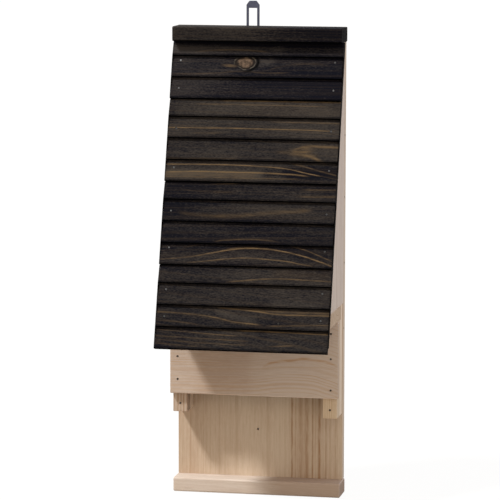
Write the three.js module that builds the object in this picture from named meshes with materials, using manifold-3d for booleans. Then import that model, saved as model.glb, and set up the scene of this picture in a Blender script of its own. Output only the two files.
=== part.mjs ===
// A wall-hung bat box of nailed pine boards, with a sloping stained shield of stepped cladding.
// Millimetres. X runs across the box, Y to the wall and Z up. The origin is the middle of the
// back panel's rear face, which lies against the wall.
import * as THREE from "three";
import { mergeVertices } from "three/addons/utils/BufferGeometryUtils.js";
import Module from "manifold-3d";

const wasm = await Module();
wasm.setup();

// Back panel: the board that hangs on the wall and that the bats land on
const panelWidth = 209;
const panelHeight = 545.5;
const panelThickness = 12;
const fixingHoleDiameter = 3;
const fixingHoleHeight = 60;
const fixingHoleOffset = -2.7;

// Bottom rail under the panel
const railDepth = 39;
const railHeight = 18;
const railOverhang = 1;
const railRounding = 2.5;

// Cap board on top of the panel and the cheeks
const capHeight = 18;
const capLip = 10.2;
const capOverhang = 1;
const capRounding = 2.5;

// Chamber floor and the cheeks that stand on it
const floorHeight = 204.5;
const floorThickness = 18;
const cheekThickness = 18;

// Legs: each is a rear and a front strip, face to face, on both sides of the entry slit
const stripWidth = 18;
const stripDepth = 18;
const legInset = 1.2;
const legDropLeft = 24;
const legDropRight = 25.9;

// Front board across the legs
const frontBoardHeight = 95;
const frontBoardThickness = 7;
const frontBoardOverhang = 1.2;
const frontBoardRounding = 1.5;

// Shield: stepped cladding boards, lapped like weatherboard on a slope from the cap to a drip edge
const shieldTopDepth = 19.8;
const shieldFootDepth = 131.5;
const shieldDrop = 24.4;
const claddingThickness = 12;
const claddingCount = 4;
const topBoardShare = 0.7;
const claddingOverhang = 2;
const teethPerBoard = 4;
const rowLoss = 4.5;
const toothStep = 4;
const tipRounding = 1.5;
const lapHeight = 8;
const tongueThickness = 5;

// Hanger: a steel plate on the back with an eye above the cap
const hangerOffset = -12.7;
const hangerWidth = 16.4;
const hangerHeight = 90;
const hangerThickness = 1.5;
const hangerRise = 30.5;
const hangerChamferWidth = 3.8;
const hangerChamferHeight = 5;
const eyeWidth = 10.3;
const eyeHeight = 32;
const eyeWeb = 9;
const screwHeadDiameter = 6;
const screwHeadHeight = 1.6;
const screwDiameter = 3;
const screwLength = 11;
const screwPlaceShares = [0.13, 0.34];

// Nails, sunk a little under the surface
const nailHeadDiameter = 2.4;
const nailHeadThickness = 0.8;
const nailDiameter = 1.6;
const nailPoint = 2.5;
const nailSink = 0.5;
const claddingNailLength = 20;
const shortNailLength = 30;
const longNailLength = 45;
const skewNailLength = 20;
const nailEdgeDistance = 8.3;
const legNailRise = 10.5;
const floorNailOffset = 45;
const skewNailAngle = 45;
const skewNailDepthShare = 0.38;

// Where hand-set nails sit, as shares of the board that they hold
const claddingNailShares = [[0.39, 0.71], [0.21, 0.65], [0.17, 0.64], [0.13, 0.47]];
const frontNailSharesLeft = [0.19, 0.49, 0.85];
const frontNailSharesRight = [0.11, 0.52, 0.85];
const skewNailShares = [0.35, 0.5, 0.65, 0.79];
const edgeNailShares = [0.12, 0.5, 0.88];

// Clearances: round a nail or screw, and between boards that meet on the slope
const nailClearance = 0.3;
const slopeClearance = 0.3;
const overrun = 5;

// Places that follow from the sizes above
const panelFoot = -panelHeight / 2;
const panelTop = panelHeight / 2;
const panelFront = -panelThickness;
const panelEdge = panelWidth / 2;
const capDepth = panelThickness + shieldTopDepth + capLip;
const capTop = panelTop + capHeight;
const floorFoot = panelFoot + floorHeight;
const floorTop = floorFoot + floorThickness;
const frontBoardFoot = floorFoot - frontBoardHeight;
const legDepth = 2 * stripDepth;
const legCentre = panelEdge - legInset - stripWidth / 2;
const nailLine = panelEdge - nailEdgeDistance;
const shieldFoot = floorFoot - shieldDrop;
const shieldRise = panelTop - shieldFoot;
const shieldSlope = Math.atan2(shieldFootDepth - shieldTopDepth, shieldRise);
const shieldLength = Math.hypot(shieldFootDepth - shieldTopDepth, shieldRise);
const claddingCover = shieldLength / (claddingCount - 1 + topBoardShare);
const toothPitch = (claddingCover + rowLoss) / teethPerBoard;
const sides = [
  { name: "left", sign: -1, legDrop: legDropLeft, frontNailShares: frontNailSharesLeft },
  { name: "right", sign: 1, legDrop: legDropRight, frontNailShares: frontNailSharesRight },
];

const nailSides = 8;
const screwSides = 12;
const arcSteps = 4;

const pine = { color: 0xc9ad8c, roughness: 0.75, metalness: 0 };
const stainedPine = { color: 0x2b2522, roughness: 0.6, metalness: 0 };
const steel = { color: 0x555963, roughness: 0.5, metalness: 0.8 };
const nailSteel = { color: 0x4a4540, roughness: 0.6, metalness: 0.7 };

// Depth of the boards' seat on the slope: the cladding's rear plane, at a height z
function shieldBackAt(z) {
  const tipDepth = shieldFootDepth - (z - shieldFoot) * Math.tan(shieldSlope);
  const behindTips = (claddingThickness + slopeClearance) / Math.cos(shieldSlope);
  return panelFront - tipDepth + behindTips;
}

// A closed geometry as a solid that can be cut
function toSolid(geometry) {
  const bare = geometry.clone();
  bare.deleteAttribute("normal");
  bare.deleteAttribute("uv");
  const merged = mergeVertices(bare);
  const corners = merged.index.array;
  const kept = [];
  for (let i = 0; i < corners.length; i += 3) {
    const [a, b, c] = corners.subarray(i, i + 3);
    if (a !== b && b !== c && c !== a) kept.push(a, b, c);
  }
  return new wasm.Manifold(new wasm.Mesh({
    numProp: 3,
    vertProperties: Float32Array.from(merged.attributes.position.array),
    triVerts: Uint32Array.from(kept),
  }));
}

function toGeometry(solid) {
  const mesh = solid.getMesh();
  const geometry = new THREE.BufferGeometry();
  geometry.setAttribute("position", new THREE.BufferAttribute(mesh.vertProperties, 3));
  geometry.setIndex(new THREE.BufferAttribute(mesh.triVerts, 1));
  geometry.computeVertexNormals();
  return geometry;
}

function piece(name, geometry, look) {
  const mesh = new THREE.Mesh(geometry, new THREE.MeshStandardMaterial(look));
  mesh.name = name;
  return mesh;
}

// Take the cutter, given in world places, away from a mesh
function cut(mesh, cutter, cutterMatrix) {
  mesh.updateWorldMatrix(true, false);
  const toMesh = mesh.matrixWorld.clone().invert().multiply(cutterMatrix);
  const tool = toSolid(cutter.clone().applyMatrix4(toMesh));
  mesh.geometry = toGeometry(toSolid(mesh.geometry).subtract(tool));
}

// A board with its outline in depth (y) and height (z), run across the box and centred on x = 0
function acrossBoard(shape, length) {
  const across = new THREE.Matrix4().makeBasis(
    new THREE.Vector3(0, 1, 0),
    new THREE.Vector3(0, 0, 1),
    new THREE.Vector3(1, 0, 0),
  );
  const settings = { depth: length, bevelEnabled: false, curveSegments: arcSteps };
  const geometry = new THREE.ExtrudeGeometry(shape, settings);
  return geometry.translate(0, 0, -length / 2).applyMatrix4(across);
}

// A rectangle from its rear bottom corner forward and up, with rounded corners
function roundedOutline(depth, height, rounding) {
  const shape = new THREE.Shape();
  shape.absarc(-rounding, rounding, rounding, -Math.PI / 2, 0);
  shape.absarc(-rounding, height - rounding, rounding, 0, Math.PI / 2);
  shape.absarc(rounding - depth, height - rounding, rounding, Math.PI / 2, Math.PI);
  shape.absarc(rounding - depth, rounding, rounding, Math.PI, 3 * Math.PI / 2);
  return shape;
}

function polygon(points) {
  return new THREE.Shape(points.map(([x, y]) => new THREE.Vector2(x, y)));
}

// Carcass: panel, rail, cap, floor, cheeks and legs
function buildCarcass() {
  const carcass = new THREE.Group();

  const panel = piece("back_panel", new THREE.BoxGeometry(panelWidth, panelThickness, panelHeight), pine);
  panel.position.y = panelFront / 2;
  const hole = new THREE.CylinderGeometry(
    fixingHoleDiameter / 2,
    fixingHoleDiameter / 2,
    panelThickness + 2 * overrun,
    screwSides,
  );
  const holePlace = new THREE.Matrix4().makeTranslation(
    fixingHoleOffset,
    panelFront / 2,
    panelFoot + fixingHoleHeight,
  );
  cut(panel, hole, holePlace);
  carcass.add(panel);

  const railOutline = roundedOutline(railDepth, railHeight, railRounding);
  const rail = piece("bottom_rail", acrossBoard(railOutline, panelWidth + 2 * railOverhang), pine);
  rail.position.z = panelFoot - railHeight;
  carcass.add(rail);

  const capOutline = roundedOutline(capDepth, capHeight, capRounding);
  const cap = piece("cap_board", acrossBoard(capOutline, panelWidth + 2 * capOverhang), stainedPine);
  cap.position.z = panelTop;
  carcass.add(cap);

  const floorOutline = polygon([
    [panelFront - stripDepth, floorFoot],
    [panelFront - stripDepth, floorTop],
    [shieldBackAt(floorTop), floorTop],
    [shieldBackAt(floorFoot), floorFoot],
  ]);
  carcass.add(piece("chamber_floor", acrossBoard(floorOutline, panelWidth), pine));

  const cheekOutline = polygon([
    [panelFront, floorTop],
    [panelFront, panelTop],
    [shieldBackAt(panelTop), panelTop],
    [shieldBackAt(floorTop), floorTop],
  ]);
  for (const side of sides) {
    const cheek = piece(`cheek_${side.name}`, acrossBoard(cheekOutline, cheekThickness), pine);
    cheek.position.x = side.sign * (panelEdge - cheekThickness / 2);
    carcass.add(cheek);
    carcass.add(buildLeg(side));
  }
  return carcass;
}

// One leg: the rear strip runs up beside the floor board to the cheek, the front strip ends under it
function buildLeg(side) {
  const leg = new THREE.Group();
  const foot = frontBoardFoot - side.legDrop;
  const strips = [
    { name: "rear", top: floorTop, front: panelFront },
    { name: "front", top: floorFoot, front: panelFront - stripDepth },
  ];
  for (const strip of strips) {
    const length = strip.top - foot;
    const shape = new THREE.BoxGeometry(stripWidth, stripDepth, length);
    const mesh = piece(`leg_strip_${strip.name}_${side.name}`, shape, pine);
    mesh.position.set(side.sign * legCentre, strip.front - stripDepth / 2, foot + length / 2);
    leg.add(mesh);
  }
  return leg;
}

function buildFrontBoard() {
  const length = panelWidth + 2 * frontBoardOverhang;
  const outline = roundedOutline(frontBoardThickness, frontBoardHeight, frontBoardRounding);
  const board = piece("front_board", acrossBoard(outline, length), pine);
  board.position.y = panelFront - legDepth;
  board.position.z = frontBoardFoot;
  return board;
}

// How far the stepped face lies behind the tips, at a height above the board's foot
function faceDepthAt(height) {
  return toothStep * (height % toothPitch) / toothPitch;
}

// Outline of a cladding board: sawtooth face, rebate behind its foot and tongue on its head
function claddingOutline() {
  const shape = new THREE.Shape();
  const back = claddingThickness;
  const tongueFront = claddingThickness - tongueThickness;
  const rebateFront = tongueFront - slopeClearance;
  const shoulder = claddingCover - slopeClearance;
  shape.moveTo(rebateFront, 0);
  shape.lineTo(rebateFront, lapHeight + slopeClearance);
  shape.lineTo(back, lapHeight + slopeClearance);
  shape.lineTo(back, claddingCover + lapHeight);
  shape.lineTo(tongueFront, claddingCover + lapHeight);
  shape.lineTo(tongueFront, shoulder);
  shape.lineTo(faceDepthAt(shoulder), shoulder);
  for (let tooth = teethPerBoard - 1; tooth >= 0; tooth -= 1) {
    const tip = tooth * toothPitch;
    shape.lineTo(faceDepthAt(tipRounding), tip + tipRounding);
    shape.absarc(tipRounding, tip + tipRounding, tipRounding, Math.PI, 3 * Math.PI / 2);
    if (tooth > 0) shape.lineTo(toothStep, tip);
  }
  return shape;
}

// Shield: a group turned to the slope, with its origin at the drip edge of the lowest board
function buildShield() {
  const shield = new THREE.Group();
  shield.position.set(0, panelFront - shieldFootDepth, shieldFoot);
  shield.rotation.x = -shieldSlope;
  const length = panelWidth + 2 * claddingOverhang;
  for (let row = 0; row < claddingCount; row += 1) {
    const board = piece(`cladding_board_${row + 1}`, acrossBoard(claddingOutline(), length), stainedPine);
    board.position.z = row * claddingCover;
    shield.add(board);
  }
  shield.updateMatrixWorld(true);

  const trim = new THREE.BoxGeometry(2 * length, 2 * shieldLength, shieldLength);
  const trimHeight = panelTop - slopeClearance + shieldLength / 2;
  const topBoard = shield.children[claddingCount - 1];
  cut(topBoard, trim, new THREE.Matrix4().makeTranslation(0, 0, trimHeight));
  return shield;
}

// Hanger plate with a slotted eye, its screws driven from the wall's side
function buildHanger() {
  const hanger = new THREE.Group();
  const top = capTop + hangerRise;
  const foot = top - hangerHeight;
  const half = hangerWidth / 2;
  const shoulder = hangerHeight - hangerChamferHeight;
  const outline = polygon([
    [-half, 0],
    [half, 0],
    [half, shoulder],
    [half - hangerChamferWidth, hangerHeight],
    [hangerChamferWidth - half, hangerHeight],
    [-half, shoulder],
  ]);
  const eyeTop = hangerHeight - eyeWeb;
  outline.holes.push(polygon([
    [-eyeWidth / 2, eyeTop - eyeHeight],
    [-eyeWidth / 2, eyeTop],
    [eyeWidth / 2, eyeTop],
    [eyeWidth / 2, eyeTop - eyeHeight],
  ]));
  for (const share of screwPlaceShares) {
    const hole = new THREE.Path();
    hole.absarc(0, share * hangerHeight, screwDiameter / 2 + nailClearance, 0, 2 * Math.PI);
    outline.holes.push(hole);
  }
  const settings = { depth: hangerThickness, bevelEnabled: false, curveSegments: screwSides };
  const shape = new THREE.ExtrudeGeometry(outline, settings);
  shape.rotateX(Math.PI / 2).translate(0, hangerThickness, 0);
  const plate = piece("hanger_plate", toGeometry(toSolid(shape)), steel);
  plate.position.set(hangerOffset, 0, foot);
  hanger.add(plate);

  screwPlaceShares.forEach((share, index) => {
    const screw = piece(`hanger_screw_${index + 1}`, screwShape(0), steel);
    screw.userData.hole = screwShape(nailClearance);
    screw.position.set(hangerOffset, hangerThickness, foot + share * hangerHeight);
    hanger.add(screw);
  });
  return hanger;
}

// A turned shape on the Y axis, its head towards +Y, from a profile of radius and height
function turned(profile, steps) {
  const points = profile.map(([radius, height]) => new THREE.Vector2(radius, height));
  return toGeometry(toSolid(new THREE.LatheGeometry(points, steps)));
}

// A pan-head screw; grown by a clearance, it is the hole that it goes in
function screwShape(clearance) {
  const radius = screwDiameter / 2 + clearance;
  return turned([
    [0, -screwLength - clearance],
    [radius, -screwLength + screwDiameter / 2],
    [radius, 0],
    [screwHeadDiameter / 2, 0],
    [screwHeadDiameter / 2, screwHeadHeight / 2],
    [screwHeadDiameter / 3, screwHeadHeight],
    [0, screwHeadHeight],
  ], screwSides);
}

function nailShape(length) {
  return turned([
    [0, -length],
    [nailDiameter / 2, nailPoint - length],
    [nailDiameter / 2, -nailSink - nailHeadThickness],
    [nailHeadDiameter / 2, -nailSink - nailHeadThickness],
    [nailHeadDiameter / 2, -nailSink],
    [0, -nailSink],
  ], nailSides);
}

// The hole of a nail, with a recess for its head that runs out of the face
function nailHoleShape(length) {
  const seat = -nailSink - nailHeadThickness - nailClearance;
  return turned([
    [0, -length - nailClearance],
    [nailDiameter / 2 + nailClearance, nailPoint - length - nailClearance],
    [nailDiameter / 2 + nailClearance, seat],
    [nailHeadDiameter / 2 + nailClearance, seat],
    [nailHeadDiameter / 2 + nailClearance, overrun],
    [0, overrun],
  ], nailSides);
}

// A nail: where its head meets the face, the way that it is driven and its length
function nail(name, place, drive, length) {
  const outward = new THREE.Vector3(...drive).normalize().negate();
  const mesh = piece(name, nailShape(length), nailSteel);
  mesh.position.set(...place);
  mesh.quaternion.setFromUnitVectors(new THREE.Vector3(0, 1, 0), outward);
  mesh.userData.hole = nailHoleShape(length);
  return mesh;
}

// Nails through the cladding into the cheeks, and one into the edge of the chamber floor
function addShieldNails(shield) {
  const driven = [0, 1, 0];
  for (let row = 0; row < claddingCount; row += 1) {
    const shares = claddingNailShares[Math.min(row, claddingNailShares.length - 1)];
    shares.forEach((share, index) => {
      const rise = share * claddingCover;
      for (const side of sides) {
        const name = `cladding_nail_${row + 1}_${index + 1}_${side.name}`;
        const place = [side.sign * nailLine, faceDepthAt(rise), row * claddingCover + rise];
        shield.add(nail(name, place, driven, claddingNailLength));
      }
    });
  }
  const level = [0, Math.cos(shieldSlope), Math.sin(shieldSlope)];
  const rise = (shieldDrop + floorThickness / 2) / Math.cos(shieldSlope);
  const place = [floorNailOffset, faceDepthAt(rise), rise];
  shield.add(nail("floor_nail", place, level, shortNailLength));
}

function buildNails() {
  const nails = new THREE.Group();
  const inward = [0, 1, 0];
  for (const side of sides) {
    side.frontNailShares.forEach((share, index) => {
      const face = panelFront - legDepth - frontBoardThickness;
      const place = [side.sign * nailLine, face, frontBoardFoot + share * frontBoardHeight];
      nails.add(nail(`front_nail_${index + 1}_${side.name}`, place, inward, shortNailLength));
    });

    const height = frontBoardFoot - side.legDrop + legNailRise;
    const legPlace = [side.sign * legCentre, panelFront - legDepth, height];
    nails.add(nail(`leg_nail_${side.name}`, legPlace, inward, longNailLength));

    const skew = THREE.MathUtils.degToRad(skewNailAngle);
    const skewDrive = [-side.sign * Math.cos(skew), -Math.sin(skew), 0];
    skewNailShares.forEach((share, index) => {
      const depth = panelFront + skewNailDepthShare * panelThickness;
      const place = [side.sign * panelEdge, depth, panelFoot + share * panelHeight];
      nails.add(nail(`side_nail_${index + 1}_${side.name}`, place, skewDrive, skewNailLength));
    });
  }
  edgeNailShares.forEach((share, index) => {
    const x = (share - edgeNailShares[1]) * panelWidth;
    const capPlace = [x, panelFront / 2, capTop];
    nails.add(nail(`cap_nail_${index + 1}`, capPlace, [0, 0, -1], longNailLength));
    const railPlace = [x, panelFront / 2, panelFoot - railHeight];
    nails.add(nail(`rail_nail_${index + 1}`, railPlace, [0, 0, 1], longNailLength));
  });
  return nails;
}

function hasHole(node) {
  return Boolean(node.userData.hole);
}

// Bore every board that a nail or screw runs into
function boreBoards(boards, fasteners) {
  for (const fastener of fasteners) {
    fastener.updateWorldMatrix(true, false);
    const hole = fastener.userData.hole;
    const reach = new THREE.Box3().setFromBufferAttribute(hole.attributes.position);
    reach.applyMatrix4(fastener.matrixWorld);
    for (const board of boards) {
      const space = new THREE.Box3().setFromObject(board);
      if (space.intersectsBox(reach)) cut(board, hole, fastener.matrixWorld);
    }
  }
}

const group = new THREE.Group();
const carcass = buildCarcass();
const frontBoard = buildFrontBoard();
const shield = buildShield();
const hanger = buildHanger();
const nails = buildNails();
group.add(carcass, frontBoard, shield, hanger, nails);

const boards = [];
for (const section of [carcass, frontBoard, shield]) {
  section.traverse((node) => {
    if (node.isMesh) boards.push(node);
  });
}
addShieldNails(shield);
boreBoards(boards, [...nails.children, ...shield.children, ...hanger.children].filter(hasHole));

export default group;
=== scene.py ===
import math

import bmesh
import bpy
from mathutils import Matrix, Vector


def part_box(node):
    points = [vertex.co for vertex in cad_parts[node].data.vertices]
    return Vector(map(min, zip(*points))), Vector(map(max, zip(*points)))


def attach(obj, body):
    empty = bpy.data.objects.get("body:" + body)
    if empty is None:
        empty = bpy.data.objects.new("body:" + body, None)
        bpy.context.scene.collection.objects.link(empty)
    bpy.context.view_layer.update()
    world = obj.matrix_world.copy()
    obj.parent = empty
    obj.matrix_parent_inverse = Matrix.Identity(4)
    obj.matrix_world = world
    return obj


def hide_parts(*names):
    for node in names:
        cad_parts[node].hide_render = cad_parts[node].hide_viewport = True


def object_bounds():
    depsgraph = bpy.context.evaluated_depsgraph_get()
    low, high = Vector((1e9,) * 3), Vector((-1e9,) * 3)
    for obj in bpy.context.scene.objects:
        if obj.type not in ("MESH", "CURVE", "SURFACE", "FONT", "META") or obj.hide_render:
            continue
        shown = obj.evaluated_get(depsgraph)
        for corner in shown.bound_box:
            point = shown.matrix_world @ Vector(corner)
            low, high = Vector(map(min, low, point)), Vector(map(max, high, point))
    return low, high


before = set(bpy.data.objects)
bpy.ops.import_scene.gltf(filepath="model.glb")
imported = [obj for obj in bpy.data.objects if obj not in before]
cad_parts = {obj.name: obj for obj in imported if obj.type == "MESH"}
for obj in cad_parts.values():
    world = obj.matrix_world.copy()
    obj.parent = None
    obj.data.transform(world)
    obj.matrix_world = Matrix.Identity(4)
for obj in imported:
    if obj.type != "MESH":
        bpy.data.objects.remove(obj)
cad_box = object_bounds()

bl_info = {
    "name": "Bat Box",
    "version": (1, 0, 0),
    "blender": (4, 5, 0),
    "location": "View3D > Sidebar > Bat Box",
    "description": "Dresses a wall-hung bat box: pine boards, a stained stepped shield, steel hanger",
    "category": "Object",
}

NAILS = [name for name in sorted(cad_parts) if "nail" in name]
SCREWS = [name for name in sorted(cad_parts) if "screw" in name]


def sizes():
    return bpy.context.scene.bat_box_sizes


def finishes():
    return bpy.context.scene.bat_box_finishes


def deselect_all():
    if bpy.context.mode != "OBJECT":
        bpy.ops.object.mode_set(mode="OBJECT")
    bpy.ops.object.select_all(action="DESELECT")


def activate(piece):
    deselect_all()
    piece.select_set(True)
    bpy.context.view_layer.objects.active = piece


def socket_colour(colour, *tints):
    """A colour multiplied by its tints, with the alpha that a socket wants."""
    for tint in tints:
        colour = [part * share for part, share in zip(colour, tint)]
    return (*colour, 1.0)


WHITE = socket_colour((1.0, 1.0, 1.0))

# The mean of Blender's noise
MIDDLE = 0.5


class NodeTree:
    """The nodes of one tree. A socket is fed with a plain value or with another node's output."""

    def __init__(self, tree):
        self.tree = tree
        self.tree.nodes.clear()

    def add(self, kind, inputs=None, **settings):
        node = self.tree.nodes.new(kind)
        for setting, value in settings.items():
            setattr(node, setting, value)
        self.feed(node, inputs or {})
        return node

    def feed(self, node, inputs):
        for name, value in inputs.items():
            if isinstance(value, bpy.types.NodeSocket):
                self.tree.links.new(value, node.inputs[name])
            else:
                node.inputs[name].default_value = value

    def math(self, operation, first, second=0.0, clamp=False):
        node = self.add("ShaderNodeMath", {0: first, 1: second}, operation=operation, use_clamp=clamp)
        return node.outputs[0]

    def plus(self, first, second):
        return self.math("ADD", first, second)

    def less(self, first, second):
        return self.math("SUBTRACT", first, second)

    def times(self, first, second):
        return self.math("MULTIPLY", first, second)

    def over(self, first, second):
        return self.math("DIVIDE", first, second)

    def most(self, first, second):
        return self.math("MAXIMUM", first, second)

    def vector(self, operation, first, second):
        node = self.add("ShaderNodeVectorMath", {0: first, 1: second}, operation=operation)
        return node.outputs["Vector"]

    def grow(self, first, factor):
        """A vector times a plain factor."""
        node = self.add("ShaderNodeVectorMath", {0: first, "Scale": factor}, operation="SCALE")
        return node.outputs["Vector"]

    def facing(self, first, second):
        """How far one direction agrees with another, from -1 to 1."""
        node = self.add("ShaderNodeVectorMath", {0: first, 1: second}, operation="DOT_PRODUCT")
        return node.outputs["Value"]

    def parts(self, vector):
        """The X, Y and Z of a vector, by name."""
        return self.add("ShaderNodeSeparateXYZ", {"Vector": vector}).outputs

    def span(self, value, low, high, to=(0.0, 1.0)):
        """A soft step from the first of two results, where the value is low, to the second."""
        inputs = {"Value": value, "From Min": low, "From Max": high, "To Min": to[0], "To Max": to[1]}
        node = self.add("ShaderNodeMapRange", inputs, interpolation_type="SMOOTHSTEP")
        return node.outputs["Result"]

    def bell(self, value, middle, width):
        """1 at the middle, falling to about a third at the width on both sides."""
        off = self.over(self.less(value, middle), width)
        return self.math("EXPONENT", self.times(self.times(off, off), -1.0))

    def curve(self, value, points):
        """A smooth curve through points, from 0 to 1 both ways."""
        node = self.add("ShaderNodeFloatCurve", {"Value": value})
        line = node.mapping.curves[0]
        line.points[0].location = points[0]
        line.points[1].location = points[-1]
        for point in points[1:-1]:
            line.points.new(*point)
        node.mapping.update()
        return node.outputs["Value"]

    def blend(self, share, first, second):
        """The first colour, or the second where the share is 1."""
        node = self.add("ShaderNodeMix", {"Factor": share, "A": first, "B": second}, data_type="RGBA")
        return node.outputs["Result"]


class Finish(NodeTree):
    """A material made of nodes that read the piece's own coordinates."""

    def __init__(self, name):
        self.material = bpy.data.materials.new(name)
        self.material.use_nodes = True
        super().__init__(self.material.node_tree)
        self.shader = self.add("ShaderNodeBsdfPrincipled")
        self.surface = self.add("ShaderNodeOutputMaterial", {"Surface": self.shader.outputs["BSDF"]})
        self.place = self.add("ShaderNodeTexCoord").outputs["Object"]

    def noise(self, place, fineness, detail, roughness=0.5, output="Fac"):
        inputs = {"Vector": place, "Scale": fineness, "Detail": detail, "Roughness": roughness}
        return self.add("ShaderNodeTexNoise", inputs).outputs[output]

    def grain_noise(self, place, along, across, detail, roughness=0.5, output="Fac"):
        """Noise drawn out along the log, with its fineness along and across the grain."""
        drawn_out = self.add("ShaderNodeMapping", {"Vector": place, "Scale": (along, across, across)})
        return self.noise(drawn_out.outputs["Vector"], 1.0, detail, roughness, output)

    def noise_along(self, value, fineness, detail=1.0):
        """Noise that changes with one value only."""
        inputs = {"W": value, "Scale": fineness, "Detail": detail}
        return self.add("ShaderNodeTexNoise", inputs, noise_dimensions="1D").outputs["Fac"]

    def across_box(self, ends):
        """A value that changes softly between two places across the box, each with its value."""
        (from_x, first), (to_x, last) = ends
        return self.span(self.parts(self.place)["X"], from_x, to_x, to=(first, last))

    def bump(self, height, strength, depth):
        inputs = {"Height": height, "Strength": strength, "Distance": depth}
        return self.add("ShaderNodeBump", inputs).outputs["Normal"]


# How a board was sawn from its log, and how much each part of its grain shows. Places and lengths
# are in metres, turns in degrees.
PLAIN_GRAIN = {
    # a point on the log's heart line, and how the log lies, its own X being the grain
    "heart": (0.0, 0.06, 0.0),
    "turn": (0.0, 0.0, 0.0),
    # ring width, how unevenly the years grew, how far the grain wanders, and a start for the count
    "ring": 0.0035,
    "uneven": 1.5,
    "wander": 0.004,
    "seed": 0.0,
    # where the grain bows across a board: the board's length, the bow's height and its shape
    "bow": None,
    # how much the years, the fine lines in them, the fibres, the short specks and the clouds show
    "rings": 0.5,
    "stripes": 0.3,
    "fibres": 1.2,
    "specks": 0.3,
    "clouds": 0.8,
    # how fine the fibres are along and across the grain
    "weave": (40.0, 520.0),
    # how the board's colours, and its rings once more, depart from those of its kind
    "tint": (1.0, 1.0, 1.0),
    "line_tint": (1.0, 1.0, 1.0),
    # how much of the second colour lies over the first, at two places across the box
    "tones": ((-0.1, 0.3), (0.1, 0.3)),
    # patches hold more of the second colour, streaks show in the colour of the rings
    "patches": (),
    "streaks": (),
    # how strong the streaks are, at two places across the box
    "fade": None,
    "knot": None,
    # what the colour is multiplied by in end grain
    "end_grain": (0.82, 0.75, 0.68),
    # the same on undersides, painted light on bare boards and painted shade under the stain, and the
    # downward leans between which a face becomes an underside
    "painted_underside_shading": (1.45, 1.45, 1.5),
    "underside_lean": (0.2, 0.7),
    # height of the lowest drip edge and the rise from one to the next: lips get the undersides' painted
    # shade
    "painted_lip_shade": None,
    # the surface: its roughness, its gloss and how deep the grain lies
    "roughness": 0.62,
    "gloss": 0.3,
    "relief": 0.0003,
}

# What the stain changes: it hides the rings, is thinner in specks and clouds, and lies dark in end
# grain. Undersides and the lips over drip edges get painted shade.
STAIN_AND_PAINTED_SHADE = {
    "rings": 0.08,
    "stripes": 0.24,
    "specks": 1.2,
    "clouds": 1.3,
    "weave": (70.0, 1100.0),
    "end_grain": (0.45, 0.45, 0.6),
    "painted_underside_shading": (0.06, 0.065, 0.09),
    "underside_lean": (-0.24, 0.02),
    "roughness": 0.65,
    "gloss": 0.02,
    "relief": 0.0005,
}

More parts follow.
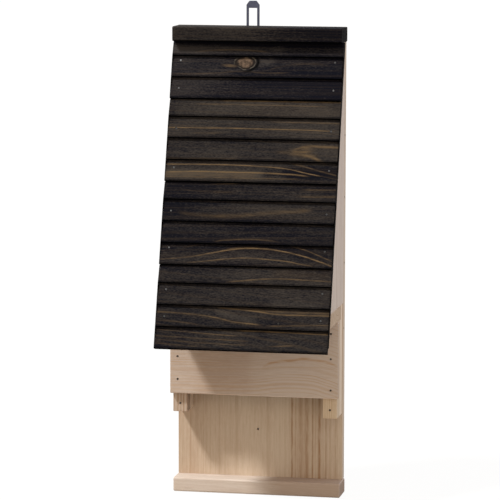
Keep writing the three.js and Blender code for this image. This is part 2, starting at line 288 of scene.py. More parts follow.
# A patch or a streak is its strength, its half width and then its places along the board, each
# across the box and up. On an upright board it has one place, across the box. A patch of negative
# strength takes the second colour away.
BARE_GRAINS = {
    "panel_pine": {
        # the tones darken the lit left end: painted shade; the last patch lightens the panel in the front
        # board's shadow: painted light
        "tint": (0.93, 0.92, 0.92), "tones": ((-0.085, 0.7), (-0.02, 0.2)),
        "patches": (
            (0.45, 0.011, 0.054), (0.3, 0.005, 0.0752), (-0.2, 0.012, 0.027), (-0.15, 0.018, -0.060),
        ),
        "heart": (-0.01, 0.035, 0.0), "turn": (0.0, -90.0, 1.5), "ring": 0.0042,
        "rings": 0.30, "wander": 0.003, "seed": 3.0,
        "streaks": (
            (0.95, 0.0013, 0.0405), (0.5, 0.0009, 0.045), (0.55, 0.0028, 0.0513), (0.75, 0.0026, 0.0592),
            (0.9, 0.0011, 0.0666), (1.0, 0.0017, 0.0752), (0.6, 0.0011, 0.0835), (0.35, 0.001, 0.0886),
            (0.45, 0.0011, 0.0957), (0.25, 0.001, -0.052), (0.2, 0.0012, -0.031), (0.2, 0.001, 0.012),
        ),
    },
    "rail_pine": {
        "heart": (0.0, 0.03, -0.34), "turn": (0.0, 1.0, 0.5), "ring": 0.0030, "rings": 0.2,
        # the tones darken the rail from its middle rightwards, where the shield's shadow falls: painted
        # shade
        "tones": ((0.0, 0.15), (0.04, 0.95)), "tint": (0.91, 0.94, 1.05), "seed": 11.0,
    },
    "floor_pine": {
        "heart": (0.0, -0.05, -0.02), "ring": 0.0030, "rings": 0.9, "seed": 5.0,
    },
    "cheek_pine": {
        "heart": (0.16, -0.08, 0.0), "turn": (0.0, -90.0, 1.0), "ring": 0.0032,
        "rings": 0.25, "tint": (0.98, 1.01, 1.13), "seed": 7.0,
    },
    "rear_leg_pine": {
        "heart": (0.0, 0.05, -0.1), "turn": (0.0, -90.0, 0.0), "ring": 0.0026,
        # the lighter tint is painted light on the strips' faces in the shaded recess between the legs
        "rings": 0.35, "tint": (1.2, 1.2, 1.2), "seed": 9.0,
    },
    "striped_leg_pine": {
        "heart": (-0.155, -0.04, -0.1), "turn": (0.0, -89.0, 0.0), "ring": 0.0032,
        "rings": 0.3, "stripes": 0.4, "tint": (0.82, 0.80, 0.83), "seed": 2.0,
        "streaks": (
            (0.7, 0.0008, -0.1023), (0.95, 0.0011, -0.0973), (0.8, 0.0011, -0.0934),
            (0.95, 0.0009, -0.0899), (0.8, 0.0012, -0.0858),
        ),
    },
    "plain_leg_pine": {
        "heart": (0.15, -0.02, -0.1), "turn": (0.0, -91.0, 0.0), "ring": 0.0022,
        "rings": 0.8, "stripes": 0.9, "tint": (1.03, 1.01, 0.94), "seed": 6.0,
    },
    "front_board_pine": {
        "heart": (0.0, 0.02, -0.24), "ring": 0.0034, "rings": 0.55, "wander": 0.0015,
        "tint": (0.88, 0.90, 1.0), "line_tint": (1.45, 1.4, 1.15),
        "tones": ((-0.06, 0.5), (0.07, 0.05)), "seed": 1.0,
        # this patch is painted shade: it darkens the board where the shield's shadow falls on it
        "patches": ((0.45, 0.0300, (-0.075, -0.130), (-0.045, -0.130), (0.000, -0.130)),),
        "bow": (
            0.212, 0.009,
            ((0.0, 0.4), (0.3, 0.42), (0.5, 0.5), (0.68, 0.75), (0.8, 0.76), (0.92, 0.5), (1.0, 0.2)),
        ),
        "streaks": (
            (0.9, 0.0018, (0.010, -0.128), (0.032, -0.1185), (0.047, -0.117), (0.064, -0.1145),
             (0.077, -0.1155), (0.092, -0.118), (0.106, -0.124)),
            (0.35, 0.0014, (0.005, -0.129), (0.032, -0.126), (0.055, -0.125), (0.077, -0.125),
             (0.093, -0.126), (0.106, -0.1305)),
            (0.3, 0.0022, (-0.085, -0.107), (-0.065, -0.1065), (-0.035, -0.108)),
        ),
    },
}

# The drip edges of a cladding board: how far the lowest is above the board's foot, and how far
# each is above the one before
LIP_RISE = 0.0034
ROW_RISE = 0.02577

# A knot is its middle across the box and up, its half length and half height, and the colours of
# the crack beside it, its bark, the rim on the bark and its heart.
STAINED_GRAINS = {
    "cladding_board_1": {
        "heart": (0.05, -0.02, -0.20), "turn": (0.0, 1.5, 4.0), "ring": 0.0042,
        "fade": ((-0.1, 0.6), (0.0, 1.0)),
        "tones": ((-0.1, 0.17), (0.06, 0.37)), "seed": 21.0,
        "patches": (
            (0.18, 0.0100, (-0.115, -0.027), (0.115, -0.028)),
            (0.45, 0.0035, (-0.033, -0.0468), (-0.0145, -0.052), (0.004, -0.056), (0.020, -0.058)),
            (0.15, 0.0110, (0.020, -0.012), (0.105, -0.013)),
            (0.4, 0.0060, (0.030, -0.038), (0.100, -0.041)),
        ),
        "streaks": (
            (0.10, 0.0060, (0.030, -0.0010), (0.110, -0.0020)),
            (0.6, 0.0007, (-0.022, -0.0125), (0.001, -0.010), (0.022, -0.008), (0.044, -0.007),
             (0.069, -0.0075), (0.115, -0.009)),
            (0.75, 0.0008, (-0.115, -0.050), (-0.070, -0.051), (-0.045, -0.053), (-0.024, -0.056),
             (-0.012, -0.0585), (0.005, -0.060), (0.025, -0.0615)),
            (0.85, 0.0008, (-0.032, -0.043), (-0.003, -0.0445), (0.022, -0.0465), (0.047, -0.049),
             (0.077, -0.049), (0.115, -0.049)),
            (0.35, 0.0015, (-0.010, -0.042), (0.040, -0.0455), (0.115, -0.046)),
            (0.4, 0.0007, (-0.110, -0.0593), (-0.069, -0.0615), (-0.051, -0.0635)),
            (0.4, 0.0008, (0.029, -0.0625), (0.115, -0.0592)),
            (0.55, 0.0006, (-0.115, -0.0705), (-0.069, -0.0725), (-0.031, -0.0745), (-0.001, -0.0755)),
            (1.0, 0.0006, (-0.007, -0.0693), (0.026, -0.0694), (0.060, -0.070), (0.115, -0.071)),
            (0.45, 0.0006, (-0.115, -0.0778), (-0.050, -0.0795), (0.010, -0.081)),
            (0.45, 0.0006, (-0.115, -0.0815), (-0.049, -0.0845), (0.010, -0.0855)),
            (0.4, 0.0006, (-0.115, -0.086), (-0.049, -0.089)),
            (0.5, 0.0006, (0.031, -0.0865), (0.073, -0.084)),
        ),
    },
    "cladding_board_2": {
        "heart": (-0.02, -0.05, -0.08), "turn": (0.0, 0.0, -3.0), "ring": 0.0050,
        "fade": ((-0.1, 0.4), (-0.01, 1.0)),
        "tones": ((-0.1, 0.11), (0.1, 0.16)), "seed": 23.0,
        "patches": (
            (0.14, 0.0070, (-0.080, 0.068), (0.000, 0.074), (0.085, 0.078)),
            (0.15, 0.0060, (-0.060, 0.016), (0.000, 0.020), (0.060, 0.016)),
        ),
        "streaks": (
            (0.35, 0.0008, (-0.052, 0.1015), (-0.012, 0.1035)),
            (0.3, 0.0007, (-0.089, 0.0955), (-0.055, 0.093), (-0.017, 0.093)),
            (0.3, 0.0011, (0.062, 0.0975), (0.115, 0.0985)),
            (0.3, 0.0011, (0.057, 0.0895), (0.115, 0.0905)),
            (0.3, 0.0024, (-0.089, 0.0695), (-0.072, 0.066), (-0.034, 0.0645), (-0.010, 0.0655),
             (0.021, 0.069), (0.052, 0.0715), (0.079, 0.074)),
            (0.4, 0.0008, (-0.042, 0.034), (-0.020, 0.037), (0.005, 0.038), (0.024, 0.0375),
             (0.042, 0.035)),
            (1.0, 0.0007, (-0.112, 0.0115), (-0.068, 0.016), (-0.044, 0.0205), (-0.019, 0.025),
             (0.003, 0.0273), (0.020, 0.0271), (0.042, 0.025), (0.067, 0.0205), (0.086, 0.0155),
             (0.110, 0.008)),
            (0.5, 0.0013, (-0.030, 0.0235), (0.003, 0.0275), (0.035, 0.026)),
            (0.8, 0.0006, (-0.075, 0.0085), (-0.043, 0.012), (-0.021, 0.0147), (0.0, 0.0159),
             (0.024, 0.0151), (0.049, 0.0135), (0.068, 0.0105), (0.085, 0.0085)),
            (0.4, 0.0007, (-0.081, 0.0245), (-0.067, 0.0285), (-0.057, 0.0295)),
            (0.5, 0.0007, (0.055, 0.0305), (0.073, 0.0265), (0.089, 0.021), (0.112, 0.0125)),
        ),
    },
    "cladding_board_3": {
        "heart": (0.05, -0.02, 0.0), "turn": (0.0, 1.0, 3.0), "ring": 0.0048,
        "tones": ((-0.1, 0.41), (0.1, 0.50)), "seed": 25.0,
        "patches": (
            (0.25, 0.0160, (-0.100, 0.187), (0.100, 0.187)),
            (0.75, 0.0050, (-0.110, 0.114), (-0.050, 0.115), (0.020, 0.114)),
            (-0.7, 0.0080, (0.040, 0.115), (0.115, 0.118)),
            (-0.2, 0.0030, (-0.020, 0.137), (0.050, 0.134)),
            (0.15, 0.0040, (0.060, 0.1425), (0.115, 0.142)),
        ),
        "streaks": (
            (0.7, 0.0008, (-0.045, 0.201), (0.038, 0.2015), (0.115, 0.2015)),
            (0.35, 0.0008, (-0.074, 0.197), (-0.005, 0.197), (0.094, 0.1965)),
            (0.9, 0.0006, (-0.115, 0.1685), (-0.066, 0.1685), (-0.028, 0.1688), (0.009, 0.1687),
             (0.046, 0.1685), (0.100, 0.1676)),
            (0.5, 0.0007, (0.020, 0.177), (0.110, 0.177)),
            (0.3, 0.0007, (-0.078, 0.1625), (-0.034, 0.163)),
            (0.58, 0.0016, (0.046, 0.1415), (0.055, 0.1455), (0.068, 0.1485), (0.087, 0.1488),
             (0.115, 0.1478)),
            (0.65, 0.0019, (0.044, 0.1415), (0.060, 0.1395), (0.075, 0.1365), (0.083, 0.133),
             (0.092, 0.129)),
            (0.55, 0.0036, (0.044, 0.1415), (0.057, 0.1418), (0.076, 0.1425)),
            (0.45, 0.0028, (0.052, 0.1440), (0.066, 0.1455), (0.080, 0.1460)),
            (0.40, 0.0028, (0.052, 0.1390), (0.068, 0.1385), (0.082, 0.1380)),
            (0.28, 0.0020, (0.028, 0.1415), (0.042, 0.1418), (0.056, 0.1425)),
            (1.0, 0.0006, (-0.110, 0.1243), (-0.057, 0.125), (-0.019, 0.125), (0.014, 0.124),
             (0.043, 0.122), (0.067, 0.1175), (0.088, 0.1140)),
            (0.2, 0.0006, (0.060, 0.1190), (0.115, 0.1095)),
            (0.9, 0.0008, (-0.110, 0.1148), (-0.062, 0.1168), (-0.038, 0.1167), (0.0, 0.1166),
             (0.037, 0.1160), (0.072, 0.1135)),
            (0.25, 0.0040, (-0.115, 0.1130), (-0.060, 0.1135), (0.010, 0.1130)),
            (0.4, 0.0006, (-0.110, 0.110), (-0.062, 0.1103), (0.012, 0.110), (0.062, 0.1105)),
            (0.45, 0.0009, (0.048, 0.128), (0.065, 0.125), (0.083, 0.1205), (0.112, 0.114)),
            (0.06, 0.0070, (-0.020, 0.1925), (0.115, 0.1920)),
            (0.35, 0.0007, (-0.110, 0.1318), (-0.014, 0.133)),
        ),
    },
    "cladding_board_4": {
        "heart": (-0.10, -0.02, 0.12), "turn": (0.0, 0.0, -2.0), "ring": 0.0050,
        "tint": (0.97, 1.0, 1.1),
        "tones": ((-0.1, 0.30), (0.02, -0.1)), "seed": 27.0,
        "patches": (
            # the first two patches are painted light on the first row, in the cap's shadow; the fourth is
            # painted shade, a dark band just under the cap
            (0.7, 0.0050, (-0.110, 0.263), (0.035, 0.263)),
            (0.4, 0.0050, (0.020, 0.263), (0.115, 0.263)),
            (0.12, 0.0120, (-0.115, 0.222), (0.115, 0.222)),
            (-0.5, 0.0030, (-0.110, 0.271), (0.110, 0.271)),
            (0.5, 0.0060, (-0.012, 0.2480), (0.004, 0.2480), (0.024, 0.2490)),
            (0.4, 0.0008, (-0.060, 0.2375), (-0.020, 0.2385), (0.010, 0.2375)),
        ),
        "streaks": (
            (0.4, 0.0008, (-0.078, 0.2595), (-0.022, 0.2625), (0.014, 0.260)),
            (0.25, 0.0008, (-0.110, 0.2328), (-0.051, 0.2345), (-0.014, 0.237), (0.007, 0.2355),
             (0.042, 0.2365)),
            (0.15, 0.0008, (0.007, 0.2365), (0.023, 0.2415), (0.044, 0.246)),
            (0.16, 0.0011, (0.034, 0.2445), (0.066, 0.247), (0.091, 0.245)),
            (0.85, 0.0015, (-0.0435, 0.2442), (-0.0335, 0.2434), (-0.0235, 0.2428)),
        ),
        "knot": {"along": -0.0155, "across": 0.2475, "length": 0.0118, "height": 0.0075,
                 "crack": (0.001, 0.001, 0.001), "bark": (0.016, 0.012, 0.010),
                 "rim": (0.095, 0.082, 0.062), "heart": (0.125, 0.083, 0.056)},
    },
    "cap_board": {
        "heart": (0.0, 0.01, 0.42), "turn": (0.0, 0.5, 0.5), "ring": 0.0040,
        "tones": ((-0.05, 0.62), (0.08, -0.05)), "underside_lean": (0.2, 0.7), "seed": 29.0,
    },
}

CLADDING = [name for name in STAINED_GRAINS if name.startswith("cladding_board")]


class Wood(Finish):
    """Wood as a solid: rings round the log's heart, broken up by streaks, fibres and clouds."""

    def __init__(self, name, grain, stain_and_shade, colours):
        super().__init__(name)
        self.sawn = {**PLAIN_GRAIN, **stain_and_shade, **grain}
        self.turn = [math.radians(angle) for angle in self.sawn["turn"]]
        self.upright = abs(self.turn[1]) > math.radians(45.0)
        self.thwart = "X" if self.upright else "Z"
        self.own = self.parts(self.place)
        self.normal = self.add("ShaderNodeNewGeometry").outputs["Normal"]
        self.lay_log()
        if self.sawn["knot"]:
            self.lay_knot()

        rings = self.draw_rings()
        if self.sawn["streaks"]:
            rings = self.most(rings, self.draw_streaks())
        fibres = self.draw_fibres()
        ground, second, line = colours
        tint = self.sawn["tint"]
        colour = self.blend(self.mix_tones(fibres), socket_colour(ground, tint), socket_colour(second, tint))
        colour = self.blend(rings, colour, socket_colour(line, tint, self.sawn["line_tint"]))
        if self.sawn["knot"]:
            colour = self.show_knot(colour)
        colour = self.paint_underside_shading(self.change_ends(colour))

        fibre_height, ring_height, fibre_roughness = 0.8, 0.5, 0.25
        height = self.plus(self.times(fibres, fibre_height), self.times(rings, ring_height))
        self.feed(self.shader, {
            "Base Color": colour,
            "Roughness": self.plus(self.times(fibres, fibre_roughness), self.sawn["roughness"]),
            "Specular IOR Level": self.sawn["gloss"],
            "Normal": self.bump(height, strength=0.5, depth=self.sawn["relief"]),
        })

    def lay_log(self):
        """The place in the log, straight and then bent by the grain's own drift."""
        lie = {"Vector": self.place, "Location": self.sawn["heart"], "Rotation": self.turn}
        self.log = self.add("ShaderNodeMapping", lie, vector_type="TEXTURE").outputs["Vector"]
        drift = self.grain_noise(self.log, along=3.0, across=14.0, detail=1.5, output="Color")
        self.drift = self.vector("SUBTRACT", drift, (MIDDLE, MIDDLE, MIDDLE))
        self.bent = self.vector("ADD", self.log, self.grow(self.drift, self.sawn["wander"]))

    def count_years(self):
        """How many years lie between the heart and a place, with a bow and a knot bending them."""
        bent = self.parts(self.bent)
        depth, across = bent["Y"], bent["Z"]
        if self.sawn["bow"]:
            length, height, shape = self.sawn["bow"]
            share = self.plus(self.over(self.own["X"], length), 0.5)
            off_middle = self.less(self.curve(share, shape), 0.5)
            across = self.less(across, self.times(off_middle, 2.0 * height))
        if self.sawn["knot"]:
            across = self.part_at_knot(across)
        reach = self.math("SQRT", self.plus(self.times(depth, depth), self.times(across, across)))
        years = self.plus(self.over(reach, self.sawn["ring"]), self.sawn["seed"])
        return self.plus(years, self.times(self.noise_along(years, fineness=0.35), self.sawn["uneven"]))

    def draw_rings(self):
        """Each year's latewood, dark in good years and fading here and there, with fine lines in it."""
        years = self.count_years()
        # how dark the wood is in the course of a year
        growth = ((0.0, 0.05), (0.45, 0.15), (0.8, 0.9), (0.92, 0.75), (1.0, 0.05))
        latewood = self.curve(self.math("FRACT", years), growth)
        # this fineness makes one year's noise independent of the next one's
        good_year = self.noise_along(self.math("FLOOR", years), fineness=7.3, detail=0.0)
        fading = self.grain_noise(self.bent, along=9.0, across=60.0, detail=2.0)
        rings = self.times(latewood, self.span(good_year, 0.3, 0.75, to=(0.2, 1.0)))
        rings = self.times(rings, self.span(fading, 0.3, 0.7, to=(0.45, 1.0)))
        rings = self.times(rings, self.sawn["rings"])
        stripes = self.less(self.noise_along(years, fineness=2.7, detail=2.0), MIDDLE)
        return self.math("ADD", rings, self.times(stripes, self.sawn["stripes"]), clamp=True)

    def draw_streaks(self):
        """All streaks of the board, which wander a little and have small gaps."""
        wander = 0.0012
        shaken = self.parts(self.vector("ADD", self.place, self.grow(self.drift, wander)))
        streaks = 0.0
        for streak in self.sawn["streaks"]:
            streaks = self.most(streaks, self.draw_streak(streak, shaken[self.thwart]))
        gaps = self.grain_noise(self.log, along=60.0, across=500.0, detail=2.0)
        shown = self.span(gaps, 0.3, 0.65, to=(0.42, 1.0))
        if self.sawn["fade"]:
            shown = self.times(shown, self.across_box(self.sawn["fade"]))
        return self.times(streaks, shown)

    def draw_streak(self, streak, across):
        """A streak or patch along its line of places. At its ends it fades, from a little outside."""
        strength, width, *places = streak
        if self.upright:
            return self.times(self.bell(across, places[0], width), strength)
        outside, inside, margin = 0.004, 0.012, 0.002
        along = self.own["X"]
        start, end = places[0][0], places[-1][0]
        low = min(place[1] for place in places) - margin
        high = max(place[1] for place in places) + margin
        share = self.add("ShaderNodeMapRange", {"Value": along, "From Min": start, "From Max": end})
        bends = [((x - start) / (end - start), (z - low) / (high - low)) for x, z in places]
        bend = self.curve(share.outputs["Result"], bends)
        middle = self.plus(self.times(bend, high - low), low)
        shown = self.times(self.bell(across, middle, width), strength)
        shown = self.times(shown, self.span(along, start - outside, start + inside))
        return self.times(shown, self.span(along, end + outside, end - inside))

    def draw_fibres(self):
        """Fine fibres, and specks a fifth as long in them, round zero."""
        along, across = self.sawn["weave"]
        fibres = self.grain_noise(self.bent, along, across, detail=2.0, roughness=0.6)
        specks = self.grain_noise(self.bent, along * 5.0, across, detail=1.0)
        specks = self.times(self.less(specks, MIDDLE), self.sawn["specks"])
        return self.plus(self.less(fibres, MIDDLE), specks)

    def mix_tones(self, fibres):
        """How much of the second colour a place holds."""
        clouds = self.less(self.grain_noise(self.log, along=7.0, across=45.0, detail=3.0), MIDDLE)
        tone = self.plus(self.times(fibres, self.sawn["fibres"]), self.times(clouds, self.sawn["clouds"]))
        for patch in self.sawn["patches"]:
            tone = self.plus(tone, self.draw_streak(patch, self.own[self.thwart]))
        return self.math("ADD", tone, self.across_box(self.sawn["tones"]), clamp=True)

    def lay_knot(self):
        """Where a place lies from the knot: sideways and up in its own halves, and the two together.

        The knot tapers to a point at its left.
        """
        knot = self.sawn["knot"]
        side = self.over(self.less(self.own["X"], knot["along"]), knot["length"])
        rise = self.over(self.less(self.own["Z"], knot["across"]), knot["height"])
        rise = self.times(rise, self.most(self.less(1.0, self.times(side, 0.5)), 1.0))
        self.knot_side, self.knot_rise = side, rise
        self.knot_spread = self.plus(self.times(side, side), self.times(rise, rise))

    def part_at_knot(self, across):
        """Years that part above and below the knot, less so further from it."""
        near = self.math("EXPONENT", self.times(self.knot_spread, -0.35))
        push = 0.8 * self.sawn["knot"]["height"]
        return self.less(across, self.times(self.times(self.knot_rise, near), push))

    def show_knot(self, colour):
        """A crack at the knot's right, its bark with a pale rim, and a mottled heart."""
        # places in the knot's own halves from its middle, and the widths of the lines there
        crack_at, crack_width, rim_at, rim_width = 1.38, 0.2, 1.13, 0.05
        bark_edge, heart_edge = (1.16, 1.04), (0.9, 0.78)
        colours = (self.sawn["knot"][part] for part in ("crack", "bark", "rim", "heart"))
        crack, bark, rim, heart = (socket_colour(part) for part in colours)
        grit = self.less(self.noise(self.place, fineness=240.0, detail=2.0), MIDDLE)
        edge = self.plus(self.math("SQRT", self.knot_spread), self.times(grit, 0.25))

        # the crack is deepest to the right and a little down
        right, down = self.times(self.knot_side, 0.85), self.times(self.knot_rise, -0.35)
        deep = self.math("ADD", right, down, clamp=True)
        cracked = self.times(self.bell(edge, crack_at, crack_width), deep)
        colour = self.blend(cracked, colour, crack)
        colour = self.blend(self.span(edge, *bark_edge), colour, bark)
        broken = self.span(self.noise(self.place, fineness=150.0, detail=1.0), 0.35, 0.6)
        colour = self.blend(self.times(self.bell(edge, rim_at, rim_width), broken), colour, rim)

        years = self.math("SINE", self.times(edge, 14.0))
        crumbs = self.less(self.noise(self.place, fineness=520.0, detail=2.0), MIDDLE)
        blots = self.less(self.noise(self.place, fineness=190.0, detail=1.0), 0.45)
        mottle = self.plus(self.times(crumbs, 1.4), self.times(years, 0.15))
        mottle = self.math("ADD", self.plus(mottle, self.times(blots, 2.2)), 0.5, clamp=True)
        heartwood = self.blend(mottle, bark, heart)
        return self.blend(self.span(edge, *heart_edge), colour, heartwood)

    def change_ends(self, colour):
        """End grain, on faces that look along the log."""
        axis = Matrix.Rotation(self.turn[1], 3, "Y") @ Vector((1.0, 0.0, 0.0))
        end_face = self.span(self.math("ABSOLUTE", self.facing(self.normal, axis)), 0.75, 0.95)
        return self.blend(end_face, colour, self.vector("MULTIPLY", colour, self.sawn["end_grain"]))

    def paint_underside_shading(self, colour):
        """Painted light on downward faces of bare boards, painted shade on those under the stain and on the
        lip over each drip edge.
        """
        lip_top, lip_foot, lip_shade_strength = 0.0014, 0.0002, 0.85
        downward = self.times(self.parts(self.normal)["Z"], -1.0)
        painted_shading = self.span(downward, *self.sawn["underside_lean"])
        if self.sawn["painted_lip_shade"]:
            lowest, rise = self.sawn["painted_lip_shade"]
            rows = self.over(self.less(self.own["Z"], lowest), rise)
            above = self.times(self.math("FRACT", rows), rise)
            painted_shading = self.most(painted_shading, self.span(above, lip_top, lip_foot, to=(0.0, lip_shade_strength)))
        return self.blend(painted_shading, colour, self.vector("MULTIPLY", colour, self.sawn["painted_underside_shading"]))


def steel_finish(name, colour, roughness, glint):
    """Dull steel with painted glints: spots up to glint times as bright, strongest at the box's left, where
    the key lamp stands.
    """
    finish = Finish(name)
    pitted = finish.noise(finish.place, fineness=900.0, detail=2.0)
    spots = finish.span(finish.noise(finish.place, fineness=220.0, detail=3.0), 0.35, 0.7)
    # this noise is so coarse that it tells one nail from the next
    nails = finish.span(finish.noise(finish.place, fineness=21.0, detail=1.0), 0.4, 0.6, to=(0.3, 1.0))
    glint_share = finish.times(spots, finish.times(nails, finish.across_box(((-0.1, 1.0), (0.1, 0.3)))))
    glinting = socket_colour(colour, (glint, glint, glint))
    finish.feed(finish.shader, {
        "Base Color": finish.blend(glint_share, socket_colour(colour), glinting),
        "Metallic": 0.85,
        "Roughness": finish.plus(finish.times(pitted, 0.2), roughness),
        "Normal": finish.bump(pitted, strength=0.3, depth=0.0001),
    })
    return finish.material


def dress(piece, material):
    piece.data.materials.clear()
    piece.data.materials.append(material)


def dress_bare(wood, easing, ends, *nodes):
    """Bare boards sawn alike: eased copies of their solids in one pine."""
    colours = (finishes().pine, finishes().pine_shade, finishes().pine_line)
    pine = Wood(wood, BARE_GRAINS[wood], {}, colours).material
    for node in nodes:
        dress(eased_copy(node, easing, ends), pine)


def dress_stained(node):
    """A stained board with its own grain. The lips over the cladding's drip edges get painted shade."""
    colours = (finishes().stain, finishes().stain_shade, finishes().stain_line)
    stain_and_shade = dict(STAIN_AND_PAINTED_SHADE)
    if node in CLADDING:
        stain_and_shade["painted_lip_shade"] = (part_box(node)[0][2] + LIP_RISE, ROW_RISE)
    stained = Wood(f"stained_{node}", STAINED_GRAINS[node], stain_and_shade, colours).material
    dress(eased_copy(node, sizes().stained_easing, True), stained)


def eased_copy(node, easing, ends):
    """A copy of a board's solid with its long edges and, if asked, its cut ends eased."""
    merge_gap = 0.00001
    flat, sharp = math.radians(1.0), math.radians(35.0)
    long_edge, end_depth = 0.006, 0.0001
    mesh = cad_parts[node].data.copy()
    board = bpy.data.objects.new(f"eased_{node}", mesh)
    bpy.context.scene.collection.objects.link(board)
    activate(board)
    bpy.ops.object.mode_set(mode="EDIT")
    bpy.ops.mesh.select_all(action="SELECT")
    bpy.ops.mesh.remove_doubles(threshold=merge_gap)
    bpy.ops.mesh.customdata_custom_splitnormals_clear()
    bpy.ops.mesh.dissolve_limited(angle_limit=flat)
    bpy.ops.mesh.select_mode(type="EDGE")
    bpy.ops.mesh.select_all(action="DESELECT")
    solid = bmesh.from_edit_mesh(mesh)
    reach = max(abs(corner.co.x) for corner in solid.verts)
    for edge in solid.edges:
        outward = edge.is_manifold and edge.calc_face_angle_signed() > sharp
        at_end = ends and all(abs(abs(corner.co.x) - reach) < end_depth for corner in edge.verts)
        edge.select_set(outward and (at_end or edge.calc_length() > long_edge))
    bmesh.update_edit_mesh(mesh)
    bpy.ops.mesh.bevel(offset=easing, offset_type="OFFSET", segments=3, affect="EDGES", clamp_overlap=False)
    bpy.ops.object.mode_set(mode="OBJECT")
    bpy.ops.object.shade_smooth_by_angle(angle=sharp)
    bpy.ops.object.modifier_add(type="WEIGHTED_NORMAL")
    board.modifiers[-1].keep_sharp = True
    bpy.ops.object.modifier_apply(modifier=board.modifiers[-1].name)
    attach(board, "root")
    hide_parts(node)
    return board


class BatBoxSizes(bpy.types.PropertyGroup):
    """How far edges are eased, and the floor's size"""

    board_easing: bpy.props.FloatProperty(
        name="Board easing", description="How far the edges of the bare boards are rounded off",
        default=0.0008, unit="LENGTH",
    )
    stained_easing: bpy.props.FloatProperty(
        name="Stained easing", description="How far the edges of the cladding and the cap are rounded off",
        default=0.0005, unit="LENGTH",
    )
    rail_easing: bpy.props.FloatProperty(
        name="Rail easing", description="How far the edges of the bottom rail are rounded off",
        default=0.0016, unit="LENGTH",
    )
    steel_easing: bpy.props.FloatProperty(
        name="Steel easing", description="How far the edges of the hanger are rounded off",
        default=0.0003, unit="LENGTH",
    )
    floor_size: bpy.props.FloatProperty(
        name="Floor size", description="Side of the floor under the box", default=30.0, unit="LENGTH",
    )


class BatBoxFinishes(bpy.types.PropertyGroup):
    """Colours of the wood, the stain, the steel and the floor"""

    pine: bpy.props.FloatVectorProperty(
        name="Pine", description="Colour of bare pine between its rings",
        default=(0.64, 0.51, 0.38), subtype="COLOR",
    )
    pine_shade: bpy.props.FloatVectorProperty(
        name="Pine fibres", description="Second colour of bare pine, in its fibres and clouds",
        default=(0.50, 0.36, 0.25), subtype="COLOR",
    )
    pine_line: bpy.props.FloatVectorProperty(
        name="Pine rings", description="Colour of the darker rings in bare pine",
        default=(0.34, 0.19, 0.09), subtype="COLOR",
    )
    stain: bpy.props.FloatVectorProperty(
        name="Stain", description="Colour of the dark stain",
        default=(0.0037, 0.0037, 0.0063), subtype="COLOR",
    )
    stain_shade: bpy.props.FloatVectorProperty(
        name="Thin stain", description="Colour of the stain where it lies thinner",
        default=(0.0415, 0.0343, 0.0287), subtype="COLOR",
    )
    stain_line: bpy.props.FloatVectorProperty(
        name="Rings in the stain", description="Colour of the rings that show through the stain",
        default=(0.145, 0.092, 0.044), subtype="COLOR",
    )
    hanger_steel: bpy.props.FloatVectorProperty(
        name="Hanger steel", description="Colour of the hanger and its screws",
        default=(0.09, 0.093, 0.13), subtype="COLOR",
    )
    nail_steel: bpy.props.FloatVectorProperty(
        name="Nail steel", description="Colour of the nails outside the shield",
        default=(0.08, 0.066, 0.055), subtype="COLOR",
    )
    # the nails in the shield, which get the brightest painted glints
    glinting_nail_steel: bpy.props.FloatVectorProperty(
        name="Bright nail steel", description="Colour of the nails in the shield between their glints",
        default=(0.05, 0.048, 0.046), subtype="COLOR",
    )
    floor: bpy.props.FloatVectorProperty(
        name="Floor", description="Colour that the floor throws back on the box",
        default=(0.32, 0.29, 0.25), subtype="COLOR",
    )


class BATBOX_OT_back_panel(bpy.types.Operator):
    """Ease the back panel and give it its upright grain"""

    bl_idname = "batbox.back_panel"
    bl_label = "Back panel"

    def execute(self, context):
        dress_bare("panel_pine", sizes().board_easing, False, "back_panel")
        return {"FINISHED"}


class BATBOX_OT_bottom_rail(bpy.types.Operator):
    """Round the bottom rail's edges and give it its grain"""

    bl_idname = "batbox.bottom_rail"
    bl_label = "Bottom rail"

    def execute(self, context):
        dress_bare("rail_pine", sizes().rail_easing, True, "bottom_rail")
        return {"FINISHED"}


class BATBOX_OT_chamber(bpy.types.Operator):
    """Ease the cheeks and the floor of the chamber"""

    bl_idname = "batbox.chamber"
    bl_label = "Chamber"

    def execute(self, context):
        dress_bare("cheek_pine", sizes().board_easing, False, "cheek_left", "cheek_right")
        dress_bare("floor_pine", sizes().board_easing, False, "chamber_floor")
        return {"FINISHED"}


class BATBOX_OT_legs(bpy.types.Operator):
    """Ease the strips of the two legs, the front ones with a grain each"""

    bl_idname = "batbox.legs"
    bl_label = "Legs"

    def execute(self, context):
        easing = sizes().board_easing
        dress_bare("rear_leg_pine", easing, False, "leg_strip_rear_left", "leg_strip_rear_right")
        dress_bare("striped_leg_pine", easing, False, "leg_strip_front_left")
        dress_bare("plain_leg_pine", easing, False, "leg_strip_front_right")
        return {"FINISHED"}


class BATBOX_OT_front_board(bpy.types.Operator):
    """Round the front board's edges and give it its arched grain"""

    bl_idname = "batbox.front_board"
    bl_label = "Front board"

    def execute(self, context):
        dress_bare("front_board_pine", sizes().board_easing, True, "front_board")
        return {"FINISHED"}


class BATBOX_OT_shield(bpy.types.Operator):
    """Ease the stepped cladding boards and stain them"""

    bl_idname = "batbox.shield"
    bl_label = "Shield"

    def execute(self, context):
        for node in CLADDING:
            dress_stained(node)
        return {"FINISHED"}


class BATBOX_OT_cap(bpy.types.Operator):
    """Ease the cap board and stain it"""

    bl_idname = "batbox.cap"
    bl_label = "Cap"

    def execute(self, context):
        dress_stained("cap_board")
        return {"FINISHED"}


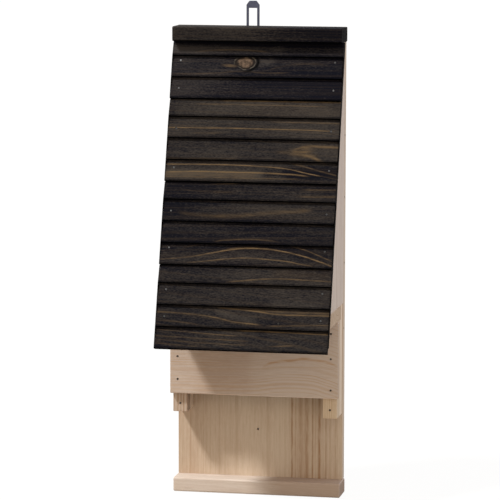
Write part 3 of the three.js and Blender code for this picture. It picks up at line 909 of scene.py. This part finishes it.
class BATBOX_OT_hanger(bpy.types.Operator):
    """Ease the hanger plate and give it and its screws dull steel with faint painted glints"""

    bl_idname = "batbox.hanger"
    bl_label = "Hanger"

    def execute(self, context):
        steel = steel_finish("hanger_steel", finishes().hanger_steel, roughness=0.4, glint=1.5)
        dress(eased_copy("hanger_plate", sizes().steel_easing, False), steel)
        for name in SCREWS:
            dress(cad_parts[name], steel)
        return {"FINISHED"}


class BATBOX_OT_nails(bpy.types.Operator):
    """Give the nails dark steel with painted glints, brightest in the shield"""

    bl_idname = "batbox.nails"
    bl_label = "Nails"

    def execute(self, context):
        plain = steel_finish("nail_steel", finishes().nail_steel, roughness=0.35, glint=1.8)
        glinting = steel_finish("glinting_nail_steel", finishes().glinting_nail_steel, roughness=0.3, glint=7.0)
        for name in NAILS:
            in_shield = name.startswith(("cladding_nail", "floor_nail"))
            dress(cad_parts[name], glinting if in_shield else plain)
        return {"FINISHED"}


class BATBOX_OT_stage(bpy.types.Operator):
    """Set up the floor, the lamp, the studio round the box and the camera"""

    bl_idname = "batbox.stage"
    bl_label = "Stage"

    def execute(self, context):
        add_floor()
        add_key_lamp()
        add_studio()
        add_camera()
        return {"FINISHED"}


def add_floor():
    """A floor just under the box: nearly white to the camera, its own colour to all other light."""
    gap, glow_strength, glow_share = 0.0005, 1.15, 0.82
    deselect_all()
    height = cad_box[0][2] - gap
    bpy.ops.mesh.primitive_plane_add(size=sizes().floor_size, location=(0.0, 0.0, height))
    floor = bpy.context.active_object
    floor.name = "floor"
    bpy.ops.object.transform_apply(location=True, rotation=False, scale=False)
    finish = Finish("pale_floor")
    finish.feed(finish.shader, {"Base Color": socket_colour(finishes().floor), "Roughness": 0.9})
    glow = finish.add("ShaderNodeEmission", {"Color": WHITE, "Strength": glow_strength})
    share = finish.times(finish.add("ShaderNodeLightPath").outputs["Is Camera Ray"], glow_share)
    mix = {0: share, 1: finish.shader.outputs["BSDF"], 2: glow.outputs["Emission"]}
    finish.feed(finish.surface, {"Surface": finish.add("ShaderNodeMixShader", mix).outputs["Shader"]})
    floor.data.materials.append(finish.material)


# The one lamp, high in front of the box at its left
KEY_TRAVEL = (1.17, 1.0, -2.17)
KEY_DISTANCE = 3.0
KEY_STRENGTH = 3.7
KEY_WIDTH = math.radians(7.0)
KEY_COLOUR = (0.93, 0.97, 1.0)


def add_key_lamp():
    """A lamp as far off as the sun, wide enough for the soft edges of the photograph's shadows."""
    travel = Vector(KEY_TRAVEL).normalized()
    deselect_all()
    bpy.ops.object.light_add(type="SUN", location=-KEY_DISTANCE * travel)
    key = bpy.context.active_object
    key.name = "key_lamp"
    key.rotation_mode = "QUATERNION"
    key.rotation_quaternion = travel.to_track_quat("-Z", "Y")
    key.data.energy = KEY_STRENGTH
    key.data.angle = KEY_WIDTH
    key.data.color = KEY_COLOUR


# The light all round, and soft round windows in it: the way to a window's middle, the cosine of
# the angle from there to its edge, and the light's colour in its middle
STUDIO_LIGHT = (0.22, 0.2, 0.17)
STUDIO_WINDOWS = (
    # behind the box
    ((-0.2, 1.0, 0.3), 0.1, (0.75, 0.72, 0.68)),
    # in front at the right, warm
    ((0.42, -0.82, 0.38), 0.15, (1.1, 0.94, 0.74)),
    # at the right, cool
    ((1.0, 0.1, 0.1), 0.3, (1.1, 1.28, 1.6)),
)


def add_studio():
    """White all round where the camera, gloss or glass sees it, and soft light for everything else."""
    world = bpy.data.worlds.new("studio")
    bpy.context.scene.world = world
    world.use_nodes = True
    studio = NodeTree(world.node_tree)
    rays = studio.add("ShaderNodeLightPath").outputs
    seen = studio.most(rays["Is Camera Ray"], rays["Is Transmission Ray"])
    seen_or_mirrored = studio.most(seen, rays["Is Glossy Ray"])
    way = studio.add("ShaderNodeTexCoord").outputs["Generated"]
    light = socket_colour(STUDIO_LIGHT)
    for middle, edge, colour in STUDIO_WINDOWS:
        window = studio.span(studio.facing(way, Vector(middle).normalized()), edge, 1.0)
        light = studio.blend(window, light, socket_colour(colour))
    soft = studio.add("ShaderNodeBackground", {"Color": light})
    white = studio.add("ShaderNodeBackground", {"Color": WHITE})
    mix = {0: seen_or_mirrored, 1: soft.outputs[0], 2: white.outputs[0]}
    studio.add("ShaderNodeOutputWorld", {"Surface": studio.add("ShaderNodeMixShader", mix).outputs[0]})


# The photograph's camera, fitted to the box's edges: it stands at the right and looks down a little
CAMERA_PLACE = (0.70880, -3.68331, 0.51064)
CAMERA_YAW = math.radians(11.1296)
CAMERA_PITCH = math.radians(7.5785)
CAMERA_ROLL = math.radians(0.1164)
CAMERA_LENS = 218.842
CAMERA_SENSOR = 36.0


def add_camera():
    yaw, pitch, roll = CAMERA_YAW, CAMERA_PITCH, CAMERA_ROLL
    ahead = Vector((-math.sin(yaw) * math.cos(pitch), math.cos(yaw) * math.cos(pitch), -math.sin(pitch)))
    level = Vector((math.cos(yaw), math.sin(yaw), 0.0))
    upright = level.cross(ahead)
    right = level * math.cos(roll) + upright * math.sin(roll)
    up = upright * math.cos(roll) - level * math.sin(roll)
    deselect_all()
    bpy.ops.object.camera_add()
    camera = bpy.context.active_object
    camera.name = "photo_camera"
    turn = Matrix((right, up, -ahead)).transposed().to_4x4()
    camera.matrix_world = Matrix.Translation(CAMERA_PLACE) @ turn
    camera.data.sensor_fit = "HORIZONTAL"
    camera.data.sensor_width = CAMERA_SENSOR
    camera.data.lens = CAMERA_LENS
    camera.data.clip_end = 100.0
    bpy.context.scene.camera = camera


class BATBOX_PT_panel(bpy.types.Panel):
    """The sizes, the finishes and a button for each piece"""

    bl_idname = "BATBOX_PT_panel"
    bl_label = "Bat Box"
    bl_space_type = "VIEW_3D"
    bl_region_type = "UI"
    bl_category = "Bat Box"

    def draw(self, context):
        for group in (sizes(), finishes()):
            for name in group.bl_rna.properties.keys():
                if name not in ("rna_type", "name"):
                    self.layout.prop(group, name)
        for operator in OPERATORS:
            self.layout.operator(operator.bl_idname)


OPERATORS = (
    BATBOX_OT_back_panel,
    BATBOX_OT_bottom_rail,
    BATBOX_OT_chamber,
    BATBOX_OT_legs,
    BATBOX_OT_front_board,
    BATBOX_OT_shield,
    BATBOX_OT_cap,
    BATBOX_OT_hanger,
    BATBOX_OT_nails,
    BATBOX_OT_stage,
)

CLASSES = (BatBoxSizes, BatBoxFinishes, *OPERATORS, BATBOX_PT_panel)


def register():
    for kind in CLASSES:
        bpy.utils.register_class(kind)
    bpy.types.Scene.bat_box_sizes = bpy.props.PointerProperty(type=BatBoxSizes)
    bpy.types.Scene.bat_box_finishes = bpy.props.PointerProperty(type=BatBoxFinishes)


def unregister():
    del bpy.types.Scene.bat_box_finishes
    del bpy.types.Scene.bat_box_sizes
    for kind in reversed(CLASSES):
        bpy.utils.unregister_class(kind)


def main():
    """Registers the add-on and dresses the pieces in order."""
    register()
    bpy.context.scene.view_settings.view_transform = "Standard"
    bpy.ops.batbox.back_panel()
    bpy.ops.batbox.bottom_rail()
    bpy.ops.batbox.chamber()
    bpy.ops.batbox.legs()
    bpy.ops.batbox.front_board()
    bpy.ops.batbox.shield()
    bpy.ops.batbox.cap()
    bpy.ops.batbox.hanger()
    bpy.ops.batbox.nails()
    bpy.ops.batbox.stage()


if __name__ == "__main__":
    main()
